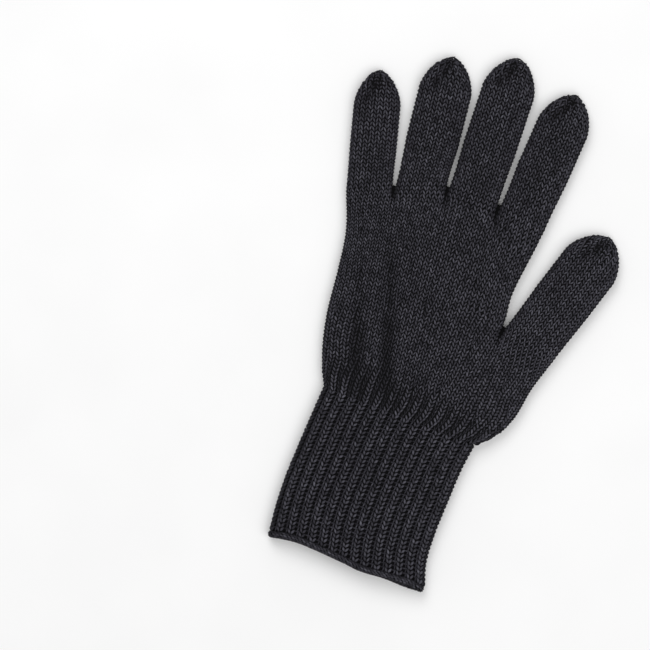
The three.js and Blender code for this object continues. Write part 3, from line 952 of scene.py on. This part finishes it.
# Wales of each strip. A wale with a height starts there, as a share of the palm's length above the
# wrist, and widens over a short length. The others run all the way down to the cuff.
stripWales = [
    {"count": 9, "starts": {7: 0.17, 1: 0.37, 5: 0.58, 3: 0.80}},
    {"count": 9, "starts": {2: 0.21, 6: 0.47, 4: 0.73}},
    {"count": 9, "starts": {6: 0.15, 2: 0.50, 4: 0.77}},
    {"count": 9, "starts": {3: 0.19, 5: 0.43, 1: 0.70}},
    {"count": 10, "starts": {2: 0.12, 7: 0.23, 4: 0.34, 8: 0.46}},
]
waleGrowth = 0.07  # share of the palm's length over which a new wale widens


def waleWidths(k, up):
    # Relative widths of a strip's wales at a height: 0 below a wale's start, 1 once it is full
    widths = np.ones(stripWales[k]["count"])
    for wale, start in stripWales[k]["starts"].items():
        widths[wale] = smoothstep(up, start - waleGrowth, start + waleGrowth)
    return widths


def sectionOf(upper, v, top):
    # Dense section across the hand at a row: strip position (strip + share across), running
    # length and how much of the length is flat
    even = np.linspace(0, 1, palm["dense"])
    share = (1 - np.cos(np.pi * even)) / 2
    position, length, flat = [], [], []
    before = 0.0
    for k in range(stripsIn(upper)):
        line = handPoint(upper, k, share, np.full(len(share), v), top, 0)
        step = np.diff(line, axis=0)
        run = runAlong(line)
        position.append(k + share)
        length.append(before + run)
        flat.append(np.hypot(step[:, 0], step[:, 1]).sum())
        before += run[-1]
    return position, length, flat


def walesInRow(upper, v, top):
    # Wale middles of one row as strip positions, with each wale's width. In each strip the flat part
    # is shared out by the wales' widths, and side walls take as many more as fit.
    position, length, flat = sectionOf(upper, v, top)
    up = blend(palm["lowerShare"], 1, v) if upper else palm["lowerShare"] * v
    fingersPart = upper and v > 1 - hand["crotchReach"] / palm["upperLength"]
    middles, widths = [], []
    for k in range(len(flat)):
        total = length[k][-1] - length[k][0]
        room = max(0.0, total - flat[k])
        atEdge = (k == 0, k == len(flat) - 1)
        sides = [room / 2, room / 2] if fingersPart else [room if edge else 0.0 for edge in atEdge]
        fitting = [int(round(side / palm["sideWale"])) for side in sides]
        counts = [fit if upper or not edge else max(1, fit) for fit, edge in zip(fitting, atEdge)]
        regular = waleWidths(k, up)
        taken = sum(side for side, count in zip(sides, counts) if count)
        regular = regular * (total - taken) / regular.sum()
        left, right = [np.full(count, side / max(1, count)) for side, count in zip(sides, counts)]
        parts = np.concatenate([left, regular, right])
        ends = length[k][0] + np.cumsum(parts)
        middles.append(ends - parts / 2)
        widths.append(parts)
    return (np.concatenate(middles), np.concatenate(widths), np.concatenate(position),
            np.concatenate(length))


def ribbedRow(middles, widths, fade, halfRib):
    # Near the wrist every second wale is pulled onto a rib's crest, and the ones between are
    # narrowed and sink into the grooves
    shown = widths > palm["ribbedFrom"] * widths.max()
    order = np.arange(shown.sum())
    offset = np.round(np.mean(middles[shown] / halfRib - order))
    target = (order + offset) * halfRib
    crest = (order + offset) % 2
    moved = middles.copy()
    moved[shown] = blend(middles[shown], target, fade)
    wide = widths.copy()
    ribbed = halfRib * (palm["valleyWidth"] + palm["crestExtra"] * crest)
    wide[shown] = blend(widths[shown], ribbed, fade)
    valley = np.zeros(len(widths))
    valley[shown] = (1 - crest) * fade
    return moved, wide, valley


def palmRows(upper, courses, top):
    # Stitches of a block of rows: position (strip + share across it), row, width, and 1 in a valley.
    # Near the wrist the rows are stretched so that their ribs meet the cuff's.
    loopQ, loopLengths = cuffLoop(0.0)
    overTop = np.interp(1.0, loopQ, loopLengths)
    ownArc = overTop if top else loopLengths[-1] - overTop
    halfRib = loopLengths[-1] / rib["count"] / 2
    rows = []
    for course in range(courses):
        v = (course + palm["firstRow"]) / courses
        middles, widths, position, length = walesInRow(upper, v, top)
        valley = np.zeros(len(middles))
        fade = 0.0 if upper else float(ribFade(v * hand["palmLength"] * palm["lowerShare"]))
        if fade > 0:
            middles, widths, valley = ribbedRow(middles, widths, fade, halfRib * length[-1] / ownArc)
        kept = widths > palm["narrowest"]
        rows.append((np.interp(middles, length, position)[kept], np.full(kept.sum(), v), widths[kept],
                     valley[kept]))
    return [np.concatenate(part) for part in zip(*rows)]


def stripStrands(upper, k, top, courses, place, v, width, valley):
    # Stitches of one finger's strip, with painted shade in the ribs' valleys, the folds and the creases
    def surface(q, row):
        # The hand's skin, its share across counted so that across x ahead points outwards
        u = q if top else 1 - q
        return handPoint(upper, k, np.clip(u, 0, 1), np.clip(row, 0, 1), top, 0)

    q = place - k if top else 1 - (place - k)
    frames = framesOn(surface, q, v, palm["qStep"], palm["vStep"])
    step = palm["rowStep"]
    climbed = np.linalg.norm(surface(q, v + step) - surface(q, v - step), axis=1)
    height = climbed / (np.minimum(1, v + step) - np.maximum(0, v - step)) / courses
    x, y = frames[0][:, 0], frames[0][:, 1]
    shade = palm["tone"] - palm["valleyShade"] * valley
    if top:
        shade = shade - palm["foldShade"] * foldSink(x, y, palm["foldShadeSpread"],
                                                     palm["foldShadeLow"], palm["foldShadeEnd"])
    shade = shade - palm["creaseShade"] * inCrease(x, y)
    return strandsFor(frames, width, height, plainStitch, palm["wristGroove"] * valley, shade)


def palmStrands(top):
    # Lower and upper block of rows, each strip by strip
    made = []
    for upper, courses in ((False, palm["lowerCourses"]), (True, palm["upperCourses"])):
        place, v, width, valley = palmRows(upper, courses, top)
        strip = np.clip(np.floor(place), 0, stripsIn(upper) - 1).astype(int)
        for k in range(stripsIn(upper)):
            mine = strip == k
            made.append(stripStrands(upper, k, top, courses, place[mine], v[mine], width[mine],
                                     valley[mine]))
    points, tonesWithPaintedShade = zip(*made)
    return np.concatenate(points), np.concatenate(tonesWithPaintedShade)


def skinColumns(upper):
    # Columns of the palm's backing as (strip, step across it), with a web column (strip, None) before
    # each strip but the first
    specs = []
    for k in range(stripsIn(upper)):
        if k > 0:
            specs.append((k, None))
        specs += [(k, step) for step in range(palm["skinStrip"] + 1)]
    return specs


def skinColumn(spec, upper, t, top, inset):
    # Points up one column. A web column lies halfway between two strips and its hollow ends lower.
    k, step = spec
    row = rowAt(upper, t)
    if step is None:
        left = handPoint(upper, k - 1, np.ones_like(t), t, top, inset, True)
        right = handPoint(upper, k, np.zeros_like(t), t, top, inset, True)
        web = (left + right) / 2
        if inset >= hand["wall"]:
            web[:, 1] -= hand["webDrop"] * opened(row, k)
        return web
    even = step / palm["skinStrip"]
    crowded = (1 - math.cos(math.pi * even)) / 2
    parted = row["split"] if k == thumbIndex else row["open"]
    return handPoint(upper, k, blend(even, crowded, parted), t, top, inset, True)


def joinSheets(sheets):
    # Grids of points, each with a flag that turns its triangles over, as one welded surface
    points, triangles, before = [], [], 0
    for grid, turnedOver in sheets:
        cells = gridTriangles(*grid.shape[:2], False, False)
        points.append(grid.reshape(-1, 3))
        triangles.append((cells[:, ::-1] if turnedOver else cells) + before)
        before += len(points[-1])
    return weld(np.concatenate(points), np.concatenate(triangles))


def palmSkin():
    # Closed backing skin: outer and inner sheets over the same rows and columns, joined by rims at
    # the wrist and round the roots of the fingers
    crowded = palm["skinCrowded"]
    far, near = palm["skinUpperRows"]
    rows = {False: np.linspace(0, 1, palm["skinRows"]),
            True: np.concatenate([np.linspace(0, crowded, far)[:-1], np.linspace(crowded, 1, near)])}
    insets = (palm["backingDepth"], hand["wall"])
    grids, sheets = {}, []
    for top in (True, False):
        for inset in insets:
            for upper in (False, True):
                grid = np.stack([skinColumn(spec, upper, rows[upper], top, inset)
                                 for spec in skinColumns(upper)], 1)
                grids[top, inset, upper] = grid
                sheets.append((grid, top != (inset < hand["wall"])))
    for top in (True, False):
        sheets.append((np.stack([grids[top, inset, False][0] for inset in insets]), top))
        for k in range(len(fingers)):
            upper = k != thumbIndex
            root = [i for i, (strip, step) in enumerate(skinColumns(upper))
                    if strip == k and step is not None]
            sheets.append((np.stack([grids[top, inset, upper][-1][root] for inset in insets]), not top))
    return joinSheets(sheets)


# Fingers

fingerKnit = {
    "course": 2.0,  # mm
    "wale": 2.68,  # mm
    "lineAt": 0.18,  # place round the finger of the line on which the courses are evenly spaced
    "lineSamples": 600,
    "ringSamples": 192,
    "ringEnd": 1.99999,  # place just before a ring closes
    "firstRing": 0.2,  # in courses from the root
    "fewest": 6,  # stitches in a ring
    "tipRows": 13.0,  # mm at the tip where wales end, below it each ring has the same number
    "tipLoose": 9.0,  # mm from the tip within which the stitches lie unevenly
    "tipWobble": 3.0,
    "tipEnd": 0.001,  # mm before the very tip, where a direction can still be measured
    "roundStep": 0.004,  # steps over which directions are measured: round, and along in mm
    "alongStep": 0.05,
    "heightStep": 0.4,  # mm along, over which a course's height is measured
    "tone": 0.5,
    # Painted light: the thumb is painted a little lighter than the fingers
    "thumbPaintedLightTone": 0.57,  # the thumb is a little lighter than the fingers
    "gather": ((4.0, -1.0), (14.0, -5.6)),  # mm back from the tip and aside, where the tip is drawn in
    "gatherWidth": 1.9,
    # Painted shade along the gather, which is also sunk by its depth
    "gatherShade": 0.5,
    "gatherDepth": 0.3,
    "skinRound": 36,
    "skinBody": 0.7,  # share of the length after which the rings of the backing crowd to the tip
    "skinOuter": {"body": 14, "tip": 14, "power": 2.2},
    "skinInner": {"body": 6, "tip": 9, "power": 2.0},
}


def inGather(k, points, length):
    # 1 on the short crease where the tip is drawn together: exp(-(distance from it / width) ^ 2)
    fromTip = points[:, :2] - fingerPoint(k, np.array(0.5), np.array(length), 0)[:2]
    place = np.stack([-fromTip @ direction(90 - fingers[k]["lean"]),
                      fromTip @ direction(-fingers[k]["lean"])], -1)
    start, end = np.array(fingerKnit["gather"])
    share = np.clip((place - start) @ (end - start) / ((end - start) @ (end - start)), 0, 1)
    away = np.linalg.norm(place - start - share[:, None] * (end - start), axis=1)
    return np.exp(-(away / fingerKnit["gatherWidth"]) ** 2)


def evenCount(length):
    # Even number of stitches that fits a ring
    return 2 * int(round(length / fingerKnit["wale"] / 2))


def fingerRings(k, length):
    # Rings at even steps along the finger's side, each with as many stitches as fit: for each stitch
    # its place round the ring, distance from the root, width, and the course's advance along
    steps = np.linspace(0, length, fingerKnit["lineSamples"])
    run = runAlong(fingerPoint(k, np.full(len(steps), fingerKnit["lineAt"]), steps, 0))
    rings = int(round(run[-1] / fingerKnit["course"]))
    distances = np.interp((np.arange(rings) + fingerKnit["firstRing"]) / rings * run[-1], run, steps)
    loop = np.linspace(0, 2, fingerKnit["ringSamples"] + 1)
    bodyCount = evenCount(runAlong(fingerPoint(k, loop, np.full(len(loop), length / 2), 0))[-1])
    made = []
    for distance, advance in zip(distances, np.gradient(distances)):
        ring = fingerPoint(k, np.minimum(loop, fingerKnit["ringEnd"]), np.full(len(loop), distance), 0)
        arc = runAlong(ring)
        inTip = distance > length - fingerKnit["tipRows"]
        fitting = max(fingerKnit["fewest"], evenCount(arc[-1]))
        count = min(bodyCount, fitting) if inTip else bodyCount
        # One stitch lies on the middle of the upper side, at 0.5 round the ring
        start = np.interp(0.5, loop, arc)
        at = np.mod(start + np.arange(count) / count * arc[-1], arc[-1])
        made.append((np.interp(at, arc, loop), np.full(count, distance),
                     np.full(count, arc[-1] / count), np.full(count, advance)))
    return [np.concatenate(part) for part in zip(*made)]


def fingerStrands(k):
    # Stitches of all rings, lower in the gather and painted darker there as painted shade, less and less
    # even
    # towards the tip: wobble = 1 + tipWobble * exp(-(distance from the tip / tipLoose) ^ 2)
    length = fingers[k]["length"] - hand["seamGap"]
    end = length - fingerKnit["tipEnd"]
    q, distance, width, advance = fingerRings(k, length)

    def surface(q, v):
        # The finger's skin at a place round it and a distance from its root
        return fingerPoint(k, q, np.clip(v, 0, end), 0)

    frames = framesOn(surface, q, distance, fingerKnit["roundStep"], fingerKnit["alongStep"])
    ahead = np.minimum(distance + fingerKnit["heightStep"], end)
    behind = np.maximum(distance - fingerKnit["heightStep"], 0)
    height = np.linalg.norm(surface(q, ahead) - surface(q, behind), axis=1) / (ahead - behind) * advance
    gathered = inGather(k, frames[0], length) * (q < 1)
    tone = fingerKnit["thumbPaintedLightTone"] if k == thumbIndex else fingerKnit["tone"]
    wobble = 1 + fingerKnit["tipWobble"] * np.exp(-((length - distance) / fingerKnit["tipLoose"]) ** 2)
    return strandsFor(frames, width, height, plainStitch, fingerKnit["gatherDepth"] * gathered,
                      tone - fingerKnit["gatherShade"] * gathered, wobble)


def skinShares(spread):
    # Shares of the length for the backing's rings: even along the body, then 1 - (1 - body) * s^power
    body = fingerKnit["skinBody"]
    toTip = np.linspace(1, 0, spread["tip"]) ** spread["power"]
    return np.concatenate([np.linspace(0, body, spread["body"])[:-1], 1 - (1 - body) * toTip])


def fingerSkin(k):
    # Closed backing skin: rings down the outside and back up the inside, from over the root's joint
    q = np.arange(fingerKnit["skinRound"]) / fingerKnit["skinRound"] * 2
    full = fingers[k]["length"] - hand["seamGap"]
    back = hand["nudge"] - hand["seamGap"]
    rings = []
    for inset, shares in ((palm["backingDepth"], skinShares(fingerKnit["skinOuter"])[::-1]),
                          (hand["wall"], skinShares(fingerKnit["skinInner"]))):
        rings += [fingerPoint(k, q, np.full(len(q), blend(back, full - inset, share)), inset)
                  for share in shares]
    rings = np.stack(rings)
    return weld(rings.reshape(-1, 3), gridTriangles(len(rings), len(q), True, False))


# Cuff

cuff = {
    "courses": 34,
    "firstRow": 0.2,  # in courses above the hem
    "lastRow": 0.35,  # in courses below the wrist
    "knitEdge": 2.0,  # mm that the courses' heights leave of the cuff's length
    "places": {"crest": 0.5, "groove": 0.08},  # share of a rib at which they lie
    "acrossStep": 0.003,  # steps over which directions are measured
    "alongStep": 0.004,
    "backing": 0.7,  # mm that the backing lies below the ribs' crests
    "stepsPerRib": 6,
    "rows": 14,
    "normalStep": 0.002,
    "floorGap": 0.4,  # mm that the backing stays above the floor
}

# The rib's column of V stitches, the thin straight line of yarn in the groove between two columns,
# and the purl loops that lie across the groove under it
ribColumn = [
    {"across": -0.24, "up": 0.0, "reach": 0.64, "slant": -0.18, "girth": 0.18, "depth": 0.18, "low": 0.0},
    {"across": 0.24, "up": 0.06, "reach": 0.60, "slant": 0.24, "girth": 0.18, "depth": 0.18, "low": 0.0},
]
ribLine = [
    {"across": 0.0, "up": 0.0, "reach": 0.66, "slant": 0.08, "girth": 0.14, "depth": 0.16, "low": 0.0},
]
purlLoop = [
    {"across": 0.0, "up": 0.45, "reach": 0.12, "slant": 0.72, "girth": 0.17, "depth": 0.17, "low": 0.0},
]


# Layers of the cuff: width as a share of a rib, and sink in mm below the surface
cuffLayers = [
    {"place": "crest", "stitch": ribColumn, "width": 0.63, "sink": 0.0, "tone": 0.5},
    # Painted shade: the layers sunk in the groove are painted darker than the crest
    {"place": "groove", "stitch": ribLine, "width": 0.5, "sink": 0.42, "tone": 0.34},
    {"place": "groove", "stitch": purlLoop, "width": 0.5, "sink": 0.85, "tone": 0.14},
]


def ringOfCuff(down, share):
    # Places round the cuff at given shares of the loop's length, and that length
    q, lengths = cuffLoop(down)
    return np.interp(share * lengths[-1], lengths, q), lengths[-1]


def cuffStrands():
    # The layers of the cuff, each with one stitch for each rib and course
    courses = cuff["courses"]
    rows = np.linspace(cuff["firstRow"], courses - cuff["lastRow"], courses) / courses
    ribs = np.arange(rib["count"])
    v = np.repeat(rows, len(ribs))
    ribWidth = np.repeat([ringOfCuff(1 - row, 0)[1] / len(ribs) for row in rows], len(ribs))
    height = np.full(len(v), (hand["cuffLength"] - cuff["knitEdge"]) / courses)

    def surface(q, row):
        # The cuff's skin, rows counted up from the hem
        return cuffPoint(q, 1 - row, 0)

    frames = {}
    for name, place in cuff["places"].items():
        q = np.concatenate([ringOfCuff(1 - row, (ribs + place) / len(ribs))[0] for row in rows])
        frames[name] = framesOn(surface, q, v, cuff["acrossStep"], cuff["alongStep"])
    points, tonesWithPaintedShade = zip(*[strandsFor(frames[layer["place"]], ribWidth * layer["width"], height,
                                     layer["stitch"], layer["sink"], layer["tone"])
                          for layer in cuffLayers])
    return np.concatenate(points), np.concatenate(tonesWithPaintedShade)


def cuffSkin():
    # Closed wall that follows the ribs: its depth is backing + groove * (1 + cos(2 pi ribs)) / 2.
    # It reaches over the joints to the palm and the hem.
    count = rib["count"] * cuff["stepsPerRib"]
    shares = np.arange(count) / count
    depth = cuff["backing"] + rib["groove"] * (0.5 + 0.5 * np.cos(2 * np.pi * rib["count"] * shares))
    past = np.array([-hand["seamGap"], 2 * hand["seamGap"]]) / hand["cuffLength"]
    step = cuff["normalStep"]
    outer, inner = [], []
    for down in np.linspace(past[0], 1 + past[1], cuff["rows"]):
        q, _ = ringOfCuff(down, shares)
        flat = np.full(count, down)
        onward = cuffPoint(q + step, flat, 0) - cuffPoint(q - step, flat, 0)
        ring = cuffPoint(q, flat, 0) - unit(np.cross(onward, [0, 1, 0])) * depth[:, None]
        ring[:, 2] = np.maximum(ring[:, 2], cuff["floorGap"])
        outer.append(ring)
        inner.append(cuffPoint(q, flat, hand["cuffWall"]))
    rings = np.stack(inner[::-1] + outer)
    return weld(rings.reshape(-1, 3), gridTriangles(len(rings), count, True, True))


# Rolled hem

hem = {
    "spacing": 1.9,  # mm between the purl loops along the roll
    "turns": 10,  # loops round the roll
    "stagger": 0.5,  # of the spacing, from one turn to the next
    "wobble": 2.0,  # the loops lie less evenly than the glove's stitches
    "tone": 0.42,
    # Painted shade where the roll turns away from the top
    "underShade": 0.3,  # darker where the roll turns under
    "runStep": 0.003,  # steps over which directions are measured
    "shareStep": 0.001,
    "turnStep": 0.02,
    "backing": 1.15,  # mm, radius of the backing roll
    "rollSides": 10,
    "rollSteps": 96,
}
hemLoop = [
    {"across": 0.0, "up": 0.0, "reach": 0.25, "slant": 0.56, "girth": 0.24, "depth": 0.22, "low": 0.0},
]


def hemPath(share):
    # Middle line of the roll at shares of its length: point, direction along, outward, and its length
    q, lengths = cuffLoop(1.0)
    at = np.interp(np.mod(share, 1) * lengths[-1], lengths, q)

    def spot(q):
        # Point of the line at a place round the cuff, as high as the wandering hem is there
        x, z, across, over = cuffOval(q, np.ones_like(q), hand["rollRadius"])
        return np.stack([x, hemHeight(across, over), z], -1)

    along = unit(spot(at + hem["runStep"]) - spot(at - hem["runStep"]))
    outward = unit(np.cross(along, [0, 1, 0]))
    return spot(at), along, outward, lengths[-1]


def hemSurface(share, turn, radius):
    # Round the roll: outward at turn 0, then over the hem's edge away from the hand
    middle, along, outward, _ = hemPath(share)
    down = unit(np.cross(along, outward))
    return middle + radius * (np.cos(turn)[:, None] * outward + np.sin(turn)[:, None] * down)


def hemStrands():
    # Purl loops side by side along the roll, lighter on top and painted darker, as painted shade, where it
    # turns under
    _, _, _, length = hemPath(np.array([0.0]))
    count = int(round(length / hem["spacing"]))
    loop, turn = (part.ravel() for part in np.meshgrid(np.arange(count), np.arange(hem["turns"]),
                                                       indexing="ij"))
    share = (loop + 0.5 + hem["stagger"] * turn) / count
    angle = 2 * np.pi * turn / hem["turns"]

    def surface(share, angle):
        # The roll's skin
        return hemSurface(share, angle, hand["rollRadius"])

    middle, across, ahead, normal = framesOn(surface, share, angle, hem["shareStep"], hem["turnStep"])
    centre, _, _, _ = hemPath(share)
    away = np.sign(np.einsum("ij,ij->i", normal, middle - centre))
    normal = normal * away[:, None]
    width = np.full(len(share), length / count)
    height = np.full(len(share), 2 * np.pi * hand["rollRadius"] / hem["turns"])
    shade = hem["tone"] - hem["underShade"] * (1 - np.abs(normal[:, 2]))
    return strandsFor((middle, across, ahead, normal), width, height, hemLoop, 0.0, shade,
                      hem["wobble"])


def hemSkin():
    # Closed roll under the loops
    share = np.arange(hem["rollSteps"]) / hem["rollSteps"]
    grid = np.stack([hemSurface(share, np.full(len(share), 2 * np.pi * side / hem["rollSides"]),
                                hem["backing"]) for side in range(hem["rollSides"])])
    return weld(grid.reshape(-1, 3), gridTriangles(hem["rollSides"], len(share), True, True))


# Pieces

def wear(piece, node):
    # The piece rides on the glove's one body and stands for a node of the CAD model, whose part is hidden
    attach(piece, "root")
    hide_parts(node)


wear(knittedPiece("palmUpperKnit", palmStrands(True), palmSkin(), yarn), "palm")
underside = knittedPiece("palmUnderKnit", palmStrands(False), None, yarn)
wear(underside, "palm")
for k, finger in enumerate(fingers):
    knit = knittedPiece(finger["name"] + "Knit", fingerStrands(k), fingerSkin(k), yarn)
    wear(knit, finger["name"])
wear(knittedPiece("ribCuffKnit", cuffStrands(), cuffSkin(), yarn), "rib_cuff")
wear(knittedPiece("rolledHemKnit", hemStrands(), hemSkin(), hemYarn), "rolled_hem")
